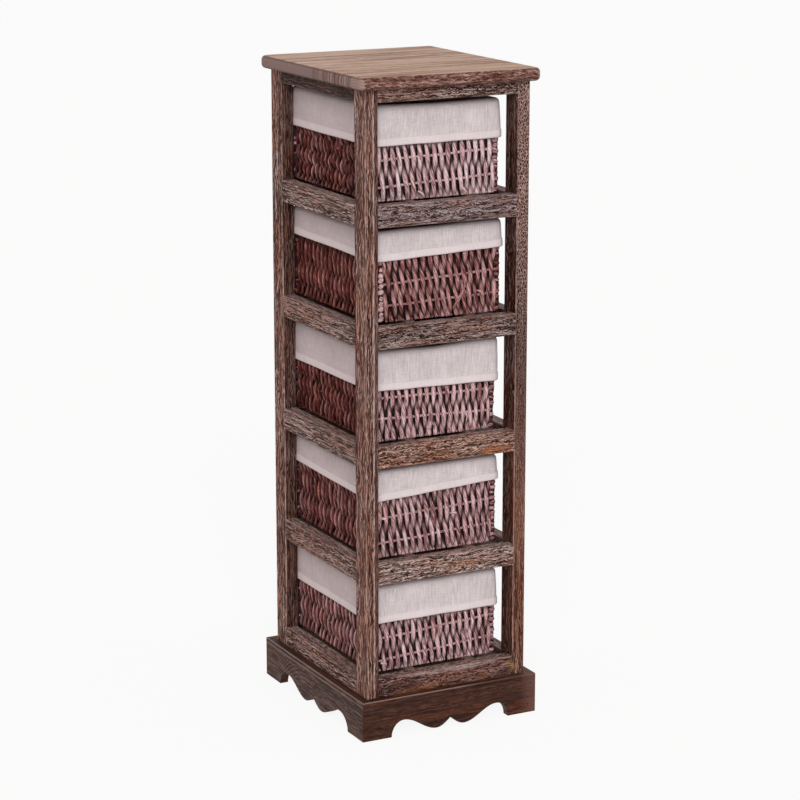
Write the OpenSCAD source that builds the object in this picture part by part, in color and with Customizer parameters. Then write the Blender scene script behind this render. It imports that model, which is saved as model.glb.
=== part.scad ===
// Bathroom storage tower: an open wooden frame with five recessed shelves, each carrying
// a pull-out wicker basket with a folded-over cloth liner. Units are millimetres, +Z is up,
// the front faces -Y, and the origin is the middle of the footprint at floor level.

/* [Overall] */
// Width of the top board and of the plinth, along X
body_w = 290; // [270:1:340]
// Depth of the top board and of the plinth, along Y
body_d = 338; // [310:1:400]
// Number of basket tiers
tiers = 5; // [2:1:5]
// Height from one shelf to the next
tier_pitch = 175; // [165:1:200]
// Overhang of the top board and ledge of the plinth round the frame
overhang = 13; // [12:0.5:18]

/* [Wood stock] */
// Thickness of the posts along X
post_x = 20; // [16:0.5:24]
// Depth of the posts along Y
post_y = 35; // [28:0.5:44]
// Thickness of every rail
rail_t = 20; // [16:0.5:24]
// Height of the shelf rails
rail_h = 32; // [28:0.5:40]
// Height of the rails under the top board
top_rail_h = 18; // [14:0.5:24]
// Clear height that the top bay has over the other bays
top_bay_extra = 2; // [0:0.5:12]
// Chamfer that eases the long edges of posts and rails
ease = 1.2; // [0.6:0.1:2]

/* [Top board] */
// Thickness of the top board
board_t = 19; // [16:0.5:24]
// Radius of the board's corners seen from above
board_corner_r = 11; // [9:0.5:16]
// Radius of the board's rounded upper and lower edges
board_edge_r = 6.5; // [3:0.5:7.5]

/* [Shelves] */
// How far each shelf panel lies below the tops of its rails
shelf_recess = 10; // [7:0.5:12]
// Thickness of the shelf panels
shelf_t = 5; // [4:0.5:6]
// Depth of the grooves that hold the panel edges
groove = 4; // [2:0.5:6]
// Width of the two runners under each basket
runner_w = 14; // [10:0.5:20]
// Distance between the centre lines of the two runners
runner_spacing = 100; // [60:1:105]
// Clearance between the runner ends and the rails
runner_end_gap = 0.3; // [0.2:0.1:0.8]
// Height of the runner tops over the rail tops, so that a basket clears the front rail
runner_rise = 0.5; // [0.3:0.1:1]

/* [Plinth] */
// Height of the scalloped plinth
plinth_h = 60; // [54:1:70]
// Height at which the posts end inside the plinth
post_foot_z = 30; // [26:0.5:33]
// Height of the bottom shelf rails' tops
first_rail_z = 88; // [84:1:96]
// Width of each foot on the front and back aprons
foot_front = 47; // [36:1:56]
// Width of each foot on the side aprons
foot_side = 51; // [40:1:62]
// Height of the arches beside the feet
arch_h = 24; // [16:0.5:30]
// Height of the pointed notch in the middle of each apron
notch_h = 15; // [8:0.5:20]
// Height of the two lobes beside the notch
lobe_z = 2.2; // [1:0.1:5]
// Distance from the notch to the lowest point of a lobe, front and back
lobe_front = 23; // [16:0.5:28]
// Distance from the notch to the lowest point of a lobe, at the sides
lobe_side = 28; // [20:0.5:34]
// Width of the round end of an arch beside its foot, front and back
arch_round_front = 20; // [12:0.5:26]
// Width of the round end of an arch beside its foot, at the sides
arch_round_side = 28; // [16:0.5:34]

/* [Joinery] */
// Diameter of the dowels that join the rails to the posts
dowel_d = 8; // [6:0.5:8]
// How far a dowel reaches into a rail
dowel_in_rail = 17; // [12:0.5:22]
// How far a dowel reaches into a post
dowel_in_post = 12; // [8:0.5:13]
// Radial clearance of a dowel or screw in its hole
bore_gap = 0.05; // [0.02:0.01:0.1]
// Spare depth at each blind end of a dowel's hole
dowel_spare = 0.5; // [0.2:0.1:0.8]
// How far a screw reaches into a plinth board
plinth_bite = 10; // [7:0.5:10.5]
// How far a screw reaches into the top board
board_bite = 12; // [8:0.5:14]
// Diameter of the screws' shanks
screw_d = 4; // [3:0.1:4.5]
// Diameter of the screws' heads
screw_head_d = 7.6; // [6:0.1:9]
// Height of the countersunk heads
screw_head_h = 2.6; // [2:0.1:3.2]
// Distance between the two screws in each of the front and rear top rails
board_screw_spacing = 130; // [80:1:170]
// Height of the screws that hold the side aprons
side_screw_z = 38; // [36:0.5:40]
// Height of the screws that hold the front and rear aprons
cross_screw_z = 47; // [46:0.5:52]

/* [Baskets] */
// Clearance between a lined basket and the left posts
basket_left_gap = 0.6; // [0.4:0.1:12]
// Clearance between a lined basket and the right posts
basket_right_gap = 9.4; // [0.4:0.1:16]
// Clearance between a lined basket and the front and rear rails
basket_end_gap = 2.4; // [1:0.1:12]
// Clear height over a lined basket under the rail above
basket_headroom = 9; // [4:0.5:30]
// Radius of a basket's upright corners
basket_r = 13; // [13:0.5:20]
// Thickness of the wicker wall
wicker_t = 9; // [7:0.5:10]
// Distance between the ribs that stand for the wall's strands
rib_pitch = 23; // [18:0.5:40]
// Width of a rib at its foot
rib_w = 19; // [12:0.5:20]
// Width of a rib at its crest
rib_crest_w = 13; // [6:0.5:14]
// Depth of the gaps between the ribs
rib_relief = 4; // [2:0.5:5]
// Height over the bottom at which the strands in front pass behind the others
weave_cross_z = 47; // [30:1:80]
// Thickness of the woven bottom
basket_floor_t = 8; // [6:0.5:12]
// Height of the braided border on top of the wall
border_h = 10; // [8:0.5:14]

/* [Liners] */
// Thickness of the liner cloth inside the basket
cloth_t = 1.6; // [1.2:0.1:2.4]
// Thickness of the folded cuff outside the basket
cuff_t = 2.2; // [1.6:0.1:3]
// Height of the cuff from the rim to its hem, on the first, third and fifth baskets
cuff_h = 56; // [30:1:80]
// Height of the shorter cuffs on the second and fourth baskets
short_cuff_h = 45; // [30:1:80]
// Height of the double hem band at the bottom of the cuff
hem_h = 10; // [6:0.5:14]
// Extra thickness of the hem band
hem_extra = 0.6; // [0.3:0.1:1]
// Clearance between the cloth and the wicker
cloth_gap = 0.3; // [0.2:0.1:0.6]

/* [Hidden] */
$fn = 48;
CARDINALS = [0 : 90 : 270];
frame_w = body_w - 2 * overhang;
frame_d = body_d - 2 * overhang;
inner_w = frame_w - 2 * post_x;
side_run = frame_d - 2 * post_y;
shelf_w = frame_w - 2 * rail_t;
shelf_d = frame_d - 2 * rail_t;
last_rail_z = first_rail_z + (tiers - 1) * tier_pitch;
board_z = last_rail_z + tier_pitch - rail_h + top_bay_extra + top_rail_h;
runner_h = shelf_recess + runner_rise;
runner_l = shelf_d - 2 * runner_end_gap;
cuff_reach = cloth_gap + cuff_t;
liner_reach = cuff_reach + hem_extra;
basket_w = inner_w - basket_left_gap - basket_right_gap - 2 * liner_reach;
basket_x = (basket_left_gap - basket_right_gap) / 2;
basket_d = shelf_d - 2 * (basket_end_gap + liner_reach);
basket_h = tier_pitch - rail_h - runner_rise - cuff_reach - basket_headroom;
liner_top = basket_h + cuff_reach;
wall_h = basket_h - border_h;
border_r = wicker_t / 2;
hood_r = border_r + cloth_gap;
dowel_r = dowel_d / 2;
screw_r = screw_d / 2;
screw_head_r = screw_head_d / 2;
screw_tip_r = 0.5;
plinth_screw_l = post_x + plinth_bite;
board_screw_l = top_rail_h + board_bite;
screw_slot = 1.2;
screw_slot_depth = 1.4;
screw_point_h = 5;
counterbore = post_y - post_x;
scallop_steps = 14;
cut = 1;

STEEL = [0.66, 0.66, 0.68];
BEECH = [0.80, 0.66, 0.48];
WOOD = [0.34, 0.25, 0.21];
TOP_WOOD = [0.62, 0.51, 0.44];
PLINTH_WOOD = [0.24, 0.15, 0.11];
PLY = [0.42, 0.32, 0.26];
WICKER = [0.52, 0.36, 0.35];
BORDER = [0.45, 0.30, 0.28];
CLOTH = [0.86, 0.83, 0.82];

SIDES = ["front", "rear", "left", "right"];

// Top of the rails of tier k, where tier 1 is the lowest
function rail_top(k) = first_rail_z + (k - 1) * tier_pitch;
function basket_z(k) = rail_top(k) + runner_rise;
JOINT_HEIGHTS = concat(
  [for (k = [1 : tiers]) rail_top(k) - rail_h / 2],
  [board_z - top_rail_h / 2]
);

// ---- outlines ----

// A rectangle with chamfered corners, centred on the origin
module eased_rect(w, h, c = ease) {
  polygon([
    [-w / 2 + c, -h / 2], [w / 2 - c, -h / 2], [w / 2, -h / 2 + c], [w / 2, h / 2 - c],
    [w / 2 - c, h / 2], [-w / 2 + c, h / 2], [-w / 2, h / 2 - c], [-w / 2, -h / 2 + c]
  ]);
}

// A rectangle with round corners, centred on the origin
module round_rect(w, d, r) {
  square([w - 2 * r, d], center = true);
  square([w, d - 2 * r], center = true);
  for (x = [-1, 1], y = [-1, 1])
    translate([x * (w / 2 - r), y * (d / 2 - r)]) circle(r);
}

// Half of an apron's lower edge from the middle to the foot, as [distance, height]
function scallop_half(half, foot, lobe_reach, arch_round) =
  let (peak = half - foot - arch_round)
  concat(
    [for (i = [0 : scallop_steps / 2])
      let (s = 2 * i / scallop_steps)
      [lobe_reach * s, lobe_z + (notch_h - lobe_z) * (1 - sin(90 * s))]],
    [for (i = [1 : scallop_steps])
      let (s = i / scallop_steps)
      [lobe_reach + (peak - lobe_reach) * s, lobe_z + (arch_h - lobe_z) * (1 - cos(180 * s)) / 2]],
    [for (i = [1 : scallop_steps / 2])
      let (a = 180 * i / scallop_steps)
      [peak + arch_round * sin(a), arch_h * cos(a)]]
  );

function mirrored(points) =
  [for (i = [len(points) - 1 : -1 : 1]) [-points[i].x, points[i].y]];

// The face of an apron of the given length, standing on z = 0
module apron_outline(length, foot, lobe_reach, arch_round) {
  lower = scallop_half(length / 2, foot, lobe_reach, arch_round);
  polygon(concat(
    [[-length / 2, plinth_h], [-length / 2, 0]],
    mirrored(lower),
    lower,
    [[length / 2, 0], [length / 2, plinth_h]]
  ));
}

// ---- sweeping an outline round a rounded rectangle ----

// The child's x is the distance in from the outer wall, and its y is the height
module sweep_round_rect(w, d, r) {
  for (a = CARDINALS) {
    along = (a % 180 == 0 ? w : d) / 2 - r;
    out = (a % 180 == 0 ? d : w) / 2;
    rotate(a) translate([-along, -out, 0]) rotate([90, 0, 90])
      linear_extrude(2 * along) children();
    corner_x = (a == 0 || a == 270 ? 1 : -1) * (w / 2 - r);
    corner_y = (a < 180 ? 1 : -1) * (d / 2 - r);
    translate([corner_x, corner_y, 0]) rotate(a) rotate_extrude(angle = 90)
      translate([r, 0]) mirror([1, 0]) children();
  }
}

// ---- frame pieces ----

// The rounded rim of the top board, as an outline of the given reach
module board_edge() {
  translate([board_edge_r, 0]) square([board_corner_r - board_edge_r, board_t]);
  translate([0, board_edge_r]) square([board_edge_r, board_t - 2 * board_edge_r]);
  intersection() {
    square([board_edge_r, board_t]);
    for (z = [board_edge_r, board_t - board_edge_r])
      translate([board_edge_r, z]) circle(board_edge_r);
  }
}

module top_board() {
  color(TOP_WOOD) difference() {
    translate([0, 0, board_z]) {
      translate([0, 0, board_t / 2])
        cube([body_w - 2 * board_corner_r, body_d - 2 * board_corner_r, board_t], center = true);
      sweep_round_rect(body_w, body_d, board_corner_r) board_edge();
    }
    for (sx = [-1, 1], sy = [-1, 1]) board_screw(sx, sy) screw_hole(board_screw_l);
  }
}

// sx and sy are -1 or 1: which side of the frame the post stands on
module post(sx, sy) {
  color(WOOD) difference() {
    translate([sx * (frame_w - post_x) / 2, sy * (frame_d - post_y) / 2, post_foot_z])
      linear_extrude(board_z - post_foot_z) eased_rect(post_x, post_y);
    for (z = JOINT_HEIGHTS) {
      cross_dowel(sx, sy, z) dowel_hole();
      side_dowel(sx, sy, z) dowel_hole();
    }
    side_screw(sx, sy) screw_hole(plinth_screw_l);
    cross_screw(sx, sy) screw_hole(plinth_screw_l, counterbore);
  }
}

// A rail across the front (side = -1) or the rear (side = 1), its top at z
module cross_rail(side, z, h) {
  translate([-inner_w / 2, side * (frame_d - rail_t) / 2, z - h / 2]) rotate([90, 0, 90])
    linear_extrude(inner_w) eased_rect(rail_t, h);
}

// A rail along the left (side = -1) or the right (side = 1), its top at z
module side_rail(side, z, h) {
  translate([side * (frame_w - rail_t) / 2, side_run / 2, z - h / 2]) rotate([90, 0, 0])
    linear_extrude(side_run) eased_rect(rail_t, h);
}

module shelf_rail_cross(k, side) {
  color(WOOD) difference() {
    cross_rail(side, rail_top(k), rail_h);
    shelf_sheet(k);
    for (sx = [-1, 1]) cross_dowel(sx, side, rail_top(k) - rail_h / 2) dowel_hole();
  }
}

module shelf_rail_side(k, side) {
  color(WOOD) difference() {
    side_rail(side, rail_top(k), rail_h);
    shelf_sheet(k);
    for (sy = [-1, 1]) side_dowel(side, sy, rail_top(k) - rail_h / 2) dowel_hole();
  }
}

module top_rail_cross(side) {
  color(WOOD) difference() {
    cross_rail(side, board_z, top_rail_h);
    for (sx = [-1, 1]) {
      cross_dowel(sx, side, board_z - top_rail_h / 2) dowel_hole();
      board_screw(sx, side) screw_hole(board_screw_l);
    }
  }
}

module top_rail_side(side) {
  color(WOOD) difference() {
    side_rail(side, board_z, top_rail_h);
    for (sy = [-1, 1]) side_dowel(side, sy, board_z - top_rail_h / 2) dowel_hole();
  }
}

// The shelf panel with its four tongues; the same solid cuts the grooves in the rails
module shelf_sheet(k) {
  translate([0, 0, rail_top(k) - shelf_recess - shelf_t]) linear_extrude(shelf_t) {
    square([min(inner_w, shelf_w), shelf_d + 2 * groove], center = true);
    square([shelf_w + 2 * groove, min(side_run, shelf_d)], center = true);
  }
}

module shelf_panel(k) {
  color(PLY) shelf_sheet(k);
}

// Two runners that carry a basket level with the rail tops
module runners(k) {
  color(PLY)
    for (side = [-1, 1])
      translate([side * runner_spacing / 2, 0, rail_top(k) - shelf_recess])
        linear_extrude(runner_h) square([runner_w, runner_l], center = true);
}

// One board of the plinth with mitred ends, its outer face at the given reach in front
module mitred_board(length, reach, foot, lobe_reach, arch_round) {
  difference() {
    translate([0, -reach / 2 + overhang, 0]) rotate([90, 0, 0])
      linear_extrude(overhang) apron_outline(length, foot, lobe_reach, arch_round);
    for (side = [-1, 1])
      translate([side * length / 2, -reach / 2, -cut]) rotate(side * 45)
        translate([side > 0 ? 0 : -length, 0, 0]) cube([length, length, plinth_h + 2 * cut]);
  }
}

module apron_cross(side) {
  color(PLINTH_WOOD) difference() {
    rotate(side < 0 ? 0 : 180)
      mitred_board(body_w, body_d, foot_front, lobe_front, arch_round_front);
    for (sx = [-1, 1]) cross_screw(sx, side) screw_hole(plinth_screw_l);
  }
}

module apron_side(side) {
  color(PLINTH_WOOD) difference() {
    rotate(side < 0 ? 270 : 90)
      mitred_board(body_d, body_w, foot_side, lobe_side, arch_round_side);
    for (sy = [-1, 1]) side_screw(side, sy) screw_hole(plinth_screw_l);
  }
}

// ---- joinery: each place points +Z from the joint into the piece that is joined ----

// A joint between a post and a front or rear rail, pointing into the post
module cross_dowel(sx, sy, z) {
  translate([sx * inner_w / 2, sy * (frame_d - rail_t) / 2, z]) rotate([0, sx * 90, 0])
    children();
}

// A joint between a post and a side rail, pointing into the post
module side_dowel(sx, sy, z) {
  translate([sx * (frame_w - rail_t) / 2, sy * side_run / 2, z]) rotate([-sy * 90, 0, 0])
    children();
}

// A screw head's seat under a front or rear top rail, pointing up into the board
module board_screw(sx, sy) {
  translate([sx * board_screw_spacing / 2, sy * (frame_d - rail_t) / 2, board_z - top_rail_h])
    children();
}

// A screw head's seat on a post's inner face, pointing into a side apron
module side_screw(sx, sy) {
  translate([sx * inner_w / 2, sy * (frame_d - post_y) / 2, side_screw_z])
    rotate([0, sx * 90, 0]) children();
}

// A screw head's seat inside a post, pointing into the front or rear apron
module cross_screw(sx, sy) {
  translate([sx * (frame_w - post_x) / 2, sy * (side_run / 2 + counterbore), cross_screw_z])
    rotate([-sy * 90, 0, 0]) children();
}

module dowel_hole() {
  translate([0, 0, -dowel_in_rail - dowel_spare])
    cylinder(r = dowel_r + bore_gap, h = dowel_in_rail + dowel_in_post + 2 * dowel_spare);
}

module dowel() {
  translate([0, 0, -dowel_in_rail]) cylinder(r = dowel_r, h = dowel_in_rail + dowel_in_post);
}

// The space of a screw of length l, with a counterbore of the given depth behind its head
module screw_hole(l, sunk = 0) {
  cylinder(r1 = screw_head_r + bore_gap, r2 = screw_r + bore_gap, h = screw_head_h);
  cylinder(r = screw_r + bore_gap, h = l + bore_gap);
  translate([0, 0, -sunk - cut]) cylinder(r = screw_head_r + bore_gap, h = sunk + cut);
}

module screw(l) {
  difference() {
    union() {
      cylinder(r1 = screw_head_r, r2 = screw_r, h = screw_head_h);
      cylinder(r = screw_r, h = l - screw_point_h);
      translate([0, 0, l - screw_point_h])
        cylinder(r1 = screw_r, r2 = screw_tip_r, h = screw_point_h);
    }
    for (a = [0, 90])
      rotate(a) cube([screw_head_r, screw_slot, 2 * screw_slot_depth], center = true);
  }
}

module dowels() {
  color(BEECH)
    for (sx = [-1, 1], sy = [-1, 1], z = JOINT_HEIGHTS) {
      cross_dowel(sx, sy, z) dowel();
      side_dowel(sx, sy, z) dowel();
    }
}

module screws() {
  color(STEEL)
    for (sx = [-1, 1], sy = [-1, 1]) {
      board_screw(sx, sy) screw(board_screw_l);
      side_screw(sx, sy) screw(plinth_screw_l);
      cross_screw(sx, sy) screw(plinth_screw_l);
    }
}

// ---- basket pieces ----

// Ribs along the side of a basket at the given distance, shifted half a pitch if swapped
module wall_ribs(run, reach, swapped) {
  count = max(1, round(run / rib_pitch));
  pitch = run / count;
  for (side = [0, 180], i = [swapped ? 1 : 0.5 : count - 0.5])
    rotate(side) translate([i * pitch - run / 2, -reach])
      polygon([
        [-rib_crest_w / 2, 0], [rib_crest_w / 2, 0], [rib_w / 2, rib_relief],
        [rib_w / 2, wicker_t], [-rib_w / 2, wicker_t], [-rib_w / 2, rib_relief]
      ]);
}

// The wall from above: a core with ribs on its four sides and a post in each corner
module weave_outline(swapped) {
  round_rect(basket_w - 2 * rib_relief, basket_d - 2 * rib_relief, basket_r - rib_relief);
  for (x = [-1, 1], y = [-1, 1])
    translate([x * (basket_w / 2 - basket_r), y * (basket_d / 2 - basket_r)]) circle(basket_r);
  wall_ribs(basket_w - 2 * basket_r, basket_d / 2, swapped);
  rotate(90) wall_ribs(basket_d - 2 * basket_r, basket_w / 2, swapped);
}

module basket_weave(k) {
  color(WICKER) translate([basket_x, 0, basket_z(k)]) difference() {
    union() {
      linear_extrude(weave_cross_z) weave_outline(true);
      translate([0, 0, weave_cross_z]) linear_extrude(wall_h - weave_cross_z)
        weave_outline(false);
    }
    translate([0, 0, basket_floor_t]) linear_extrude(wall_h)
      round_rect(basket_w - 2 * wicker_t, basket_d - 2 * wicker_t, basket_r - wicker_t);
  }
}

module basket_border(k) {
  color(BORDER) translate([basket_x, 0, basket_z(k) + wall_h])
    sweep_round_rect(basket_w, basket_d, basket_r) {
      union() {
        square([wicker_t, border_h - border_r]);
        translate([border_r, border_h - border_r]) circle(border_r);
      }
    }
}

// The cloth in section: a cuff outside the wall, a hood over the border, a bag wall inside
module liner_section(cuff) {
  cuff_z = liner_top - cuff;
  hood_x = liner_reach + border_r;
  hood_z = basket_h - border_r;
  bag_x = liner_reach + wicker_t + cloth_gap;
  bag_z = basket_floor_t + cloth_gap;
  translate([hem_extra, cuff_z]) square([cuff_t, hood_z - cuff_z]);
  translate([0, cuff_z]) square([cuff_t + hem_extra, hem_h]);
  intersection() {
    translate([hood_x, hood_z]) difference() {
      circle(hood_r + cuff_t);
      circle(hood_r);
    }
    translate([0, hood_z]) square([2 * hood_x, liner_top - hood_z]);
  }
  translate([bag_x, bag_z]) square([cloth_t, hood_z - bag_z]);
}

module basket_liner(k) {
  inset = wicker_t + cloth_gap;
  color(CLOTH) translate([basket_x, 0, basket_z(k)]) {
    sweep_round_rect(basket_w + 2 * liner_reach, basket_d + 2 * liner_reach,
      basket_r + liner_reach) liner_section(k % 2 == 0 ? short_cuff_h : cuff_h);
    translate([0, 0, basket_floor_t + cloth_gap]) linear_extrude(cloth_t)
      round_rect(basket_w - 2 * inset, basket_d - 2 * inset, basket_r - inset);
  }
}

top_board();
post(-1, -1);  // post_front_left
post(1, -1);  // post_front_right
post(-1, 1);  // post_rear_left
post(1, 1);  // post_rear_right
top_rail_cross(-1);  // top_rail_front
top_rail_cross(1);  // top_rail_rear
top_rail_side(-1);  // top_rail_left
top_rail_side(1);  // top_rail_right
for (k = [1 : tiers]) {
  shelf_rail_cross(k, -1);
  shelf_rail_cross(k, 1);
  shelf_rail_side(k, -1);
  shelf_rail_side(k, 1);
  shelf_panel(k);
  runners(k);
  basket_weave(k);
  basket_border(k);
  basket_liner(k);
}
apron_cross(-1);  // apron_front
apron_cross(1);  // apron_rear
apron_side(-1);  // apron_left
apron_side(1);  // apron_right
dowels();
screws();
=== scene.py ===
import math

import bpy
import numpy as np
from mathutils import Euler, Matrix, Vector


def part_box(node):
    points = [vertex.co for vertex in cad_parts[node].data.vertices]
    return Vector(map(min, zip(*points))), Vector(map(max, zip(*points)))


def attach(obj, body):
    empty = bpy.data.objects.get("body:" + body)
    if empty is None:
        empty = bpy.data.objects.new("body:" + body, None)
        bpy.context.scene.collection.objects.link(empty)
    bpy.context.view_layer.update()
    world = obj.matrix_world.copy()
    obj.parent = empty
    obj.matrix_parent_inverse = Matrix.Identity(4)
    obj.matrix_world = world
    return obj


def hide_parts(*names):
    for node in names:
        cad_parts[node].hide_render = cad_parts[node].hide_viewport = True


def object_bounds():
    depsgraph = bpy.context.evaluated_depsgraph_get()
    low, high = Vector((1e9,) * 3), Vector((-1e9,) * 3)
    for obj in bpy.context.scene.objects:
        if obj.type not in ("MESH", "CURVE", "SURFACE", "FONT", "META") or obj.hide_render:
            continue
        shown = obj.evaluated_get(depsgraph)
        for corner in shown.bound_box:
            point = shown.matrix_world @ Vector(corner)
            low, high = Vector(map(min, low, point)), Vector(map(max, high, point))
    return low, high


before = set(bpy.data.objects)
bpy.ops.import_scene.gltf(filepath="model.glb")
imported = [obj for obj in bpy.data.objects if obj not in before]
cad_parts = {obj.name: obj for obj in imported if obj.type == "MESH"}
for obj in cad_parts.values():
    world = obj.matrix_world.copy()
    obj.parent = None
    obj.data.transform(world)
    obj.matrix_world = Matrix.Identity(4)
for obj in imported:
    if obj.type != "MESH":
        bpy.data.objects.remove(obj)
CAD_LOW, CAD_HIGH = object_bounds()

# ---- sizes from the frame, in metres ----

WEAVE_LOW, WEAVE_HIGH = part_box("basket_1_weave")
PLINTH_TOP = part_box("apron_front")[1].z
BOARD_LOW, BOARD_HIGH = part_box("top_board")

BASKET_X, BASKET_Y = (WEAVE_HIGH.x - WEAVE_LOW.x) / 2, (WEAVE_HIGH.y - WEAVE_LOW.y) / 2
MID_X, MID_Y = (WEAVE_HIGH.x + WEAVE_LOW.x) / 2, (WEAVE_HIGH.y + WEAVE_LOW.y) / 2
WALL_H = WEAVE_HIGH.z - WEAVE_LOW.z
BASKET_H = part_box("basket_1_border")[1].z - WEAVE_LOW.z
LINER_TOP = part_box("basket_1_liner")[1].z - WEAVE_LOW.z

MM = 0.001
WICKER_T = 9 * MM
BASKET_R = 9 * MM
FLOOR_T = 8 * MM
BORDER_R = WICKER_T / 2


# ---- node helpers ----


def srgb(*c):
    """Linear colour of an sRGB colour given from 0 to 255."""
    c = [v / 255 for v in c]
    return tuple(v / 12.92 if v <= 0.04045 else ((v + 0.055) / 1.055) ** 2.4 for v in c) + (1.0,)


class Tree:
    """A material's nodes. An input is a socket or a plain number."""

    def __init__(self, name, **shader):
        self.mat = bpy.data.materials.new(name)
        self.mat.use_nodes = True
        self.nodes = self.mat.node_tree.nodes
        self.links = self.mat.node_tree.links
        self.nodes.clear()
        self.out = self.nodes.new("ShaderNodeOutputMaterial")
        self.bsdf = self.nodes.new("ShaderNodeBsdfPrincipled")
        self.links.new(self.bsdf.outputs[0], self.out.inputs["Surface"])
        for key, value in shader.items():
            self.bsdf.inputs[key.replace("_", " ")].default_value = value

    def put(self, socket, value):
        if isinstance(value, bpy.types.NodeSocket):
            self.links.new(value, socket)
        elif value is not None:
            socket.default_value = value

    def new(self, kind, *values):
        """A node with the values in its first inputs, and None where the default stays."""
        n = self.nodes.new("ShaderNode" + kind)
        for socket, value in zip(n.inputs, values):
            self.put(socket, value)
        return n

    def math(self, op, a, b=None, c=None):
        n = self.new("Math", a, b, c)
        n.operation = op
        return n.outputs[0]

    def add(self, a, *others):
        for b in others:
            a = self.math("ADD", a, b)
        return a

    def sub(self, a, b):
        return self.math("SUBTRACT", a, b)

    def mul(self, a, *others):
        for b in others:
            a = self.math("MULTIPLY", a, b)
        return a

    def abs(self, a):
        return self.math("ABSOLUTE", a)

    def sin(self, a):
        return self.math("SINE", a)

    def max(self, a, b):
        return self.math("MAXIMUM", a, b)

    def min(self, a, b):
        return self.math("MINIMUM", a, b)

    def gain(self, value, factor, base):
        """Base plus factor times value."""
        return self.math("MULTIPLY_ADD", value, factor, base)

    def vmath(self, op, a, b=None):
        n = self.new("VectorMath", a, b)
        n.operation = op
        return n.outputs[1 if op == "LENGTH" else 0]

    def split(self, v):
        return tuple(self.new("SeparateXYZ", v).outputs)

    def join(self, x, y, z):
        return self.new("CombineXYZ", x, y, z).outputs[0]

    def noise(self, v, detail=2, rough=0.5, colour=False):
        n = self.new("TexNoise", v, None, 1.0, detail, rough)
        return n.outputs[1 if colour else 0]

    def place_noise(self, scale, detail=2, rough=0.5):
        """Noise of the place on the piece, with its waves a metre on each axis."""
        return self.noise(self.vmath("MULTIPLY", self.place(), scale), detail, rough)

    def ramp(self, value, *stops, linear=False):
        """A stop is its place and a colour, sRGB up to 255 or linear up to 1."""
        n = self.new("ValToRGB", value)
        elements = n.color_ramp.elements
        while len(elements) < len(stops):
            elements.new(0.5)
        for e, (at, *colour) in zip(elements, stops):
            e.position = at
            e.color = (*colour, 1.0) if linear else srgb(*colour)
        return n.outputs[0]

    def step(self, value, low, high):
        """0 below low and 1 above high, smooth between."""
        n = self.new("MapRange", value, low, high)
        n.interpolation_type = "SMOOTHSTEP"
        return n.outputs[0]

    def fall(self, value, low, high):
        """1 below low and 0 above high, smooth between."""
        return self.sub(1.0, self.step(value, low, high))

    def mix(self, factor, a, b, blend="MIX"):
        """From a to b, which are sockets or sRGB colours."""
        n = self.new("Mix", factor)
        n.data_type, n.blend_type = "RGBA", blend
        for socket, value in ((n.inputs[6], a), (n.inputs[7], b)):
            self.put(socket, srgb(*value) if isinstance(value, tuple) else value)
        return n.outputs[2]

    def over(self, colour, tint, *masks):
        """Colour with a tint laid over it, as strongly as the product of the masks."""
        return self.mix(self.mul(*masks), colour, tint)

    def place(self):
        """The point on the piece, in the piece's own axes."""
        return self.new("TexCoord").outputs["Object"]

    def normal(self):
        return self.new("NewGeometry").outputs["True Normal"]

    def attribute(self, name, output="Fac"):
        n = self.new("Attribute")
        n.attribute_name = name
        return n.outputs[output]

    def bump(self, height, distance, strength):
        n = self.new("Bump")
        n.inputs["Strength"].default_value = strength
        n.inputs["Distance"].default_value = distance
        self.put(n.inputs["Height"], height)
        self.links.new(n.outputs[0], self.bsdf.inputs["Normal"])

    def finish(self, colour, roughness):
        self.put(self.bsdf.inputs["Base Color"], colour)
        self.put(self.bsdf.inputs["Roughness"], roughness)
        return self.mat


# ---- wood ----

WOOD_SPECULAR = 0.12
# A step along Y counts for less in the grain, which draws it out that way
GRAIN_Y = 0.45


def stretched(t, q, along, across, shift=0.0):
    """The point q in waves a metre along and across the grain, moved on by shift."""
    v = t.vmath("MULTIPLY", q, (along, across, across))
    return t.vmath("ADD", v, (shift,) * 3) if shift else v


def grain(t, q, along, across, shift=0.0, detail=2, rough=0.5):
    """Noise drawn out along the grain."""
    return t.noise(stretched(t, q, along, across, shift), detail, rough)


def limed_grain(t, axis, warp, run=9, across=260):
    """The warped point, grain first, then streaks, pores, limed dashes and slow blotches."""
    x, y, z = t.split(t.place())
    y = t.mul(y, GRAIN_Y)
    q = t.join(*{"x": (x, y, z), "y": (y, x, z), "z": (z, x, y)}[axis])
    wave = t.noise(stretched(t, q, 55, 80), 2, 0.55, colour=True)
    wave = t.vmath("SUBTRACT", wave, (0.5, 0.5, 0.5))
    q = t.vmath("ADD", q, t.vmath("MULTIPLY", wave, (0.0, warp, warp)))
    streaks = grain(t, q, run, across, 0.0, 4, 0.6)
    pores = t.step(grain(t, q, 75, 640, 3.1, 3, 0.6), 0.54, 0.68)
    lime = t.step(grain(t, q, 50, 400, 7.7, 3, 0.62), 0.48, 0.60)
    return q, streaks, pores, lime, grain(t, q, 7, 26, 11.3)


def wavy_lines(t, q, spacing, run, swing):
    """Lines along the grain, spacing apart, that swing to and fro every run or so, from 0 to 1."""
    _, a, b = t.split(q)
    bend = grain(t, q, 1 / run, 110, 2.3)
    phase = t.add(t.mul(t.add(a, b), 1 / spacing), t.mul(bend, swing))
    return t.gain(t.sin(t.mul(phase, 2 * math.pi)), 0.5, 0.5)


def edge_faces(t):
    """1 on the narrow eased faces between the flat ones."""
    x, y, z = t.split(t.vmath("ABSOLUTE", t.normal()))
    return t.fall(t.max(x, t.max(y, z)), 0.78, 0.9)


def band(t, value, at, half):
    """1 where value is within half of at."""
    return t.fall(t.abs(t.sub(value, at)), half * 0.5, half)


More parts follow.
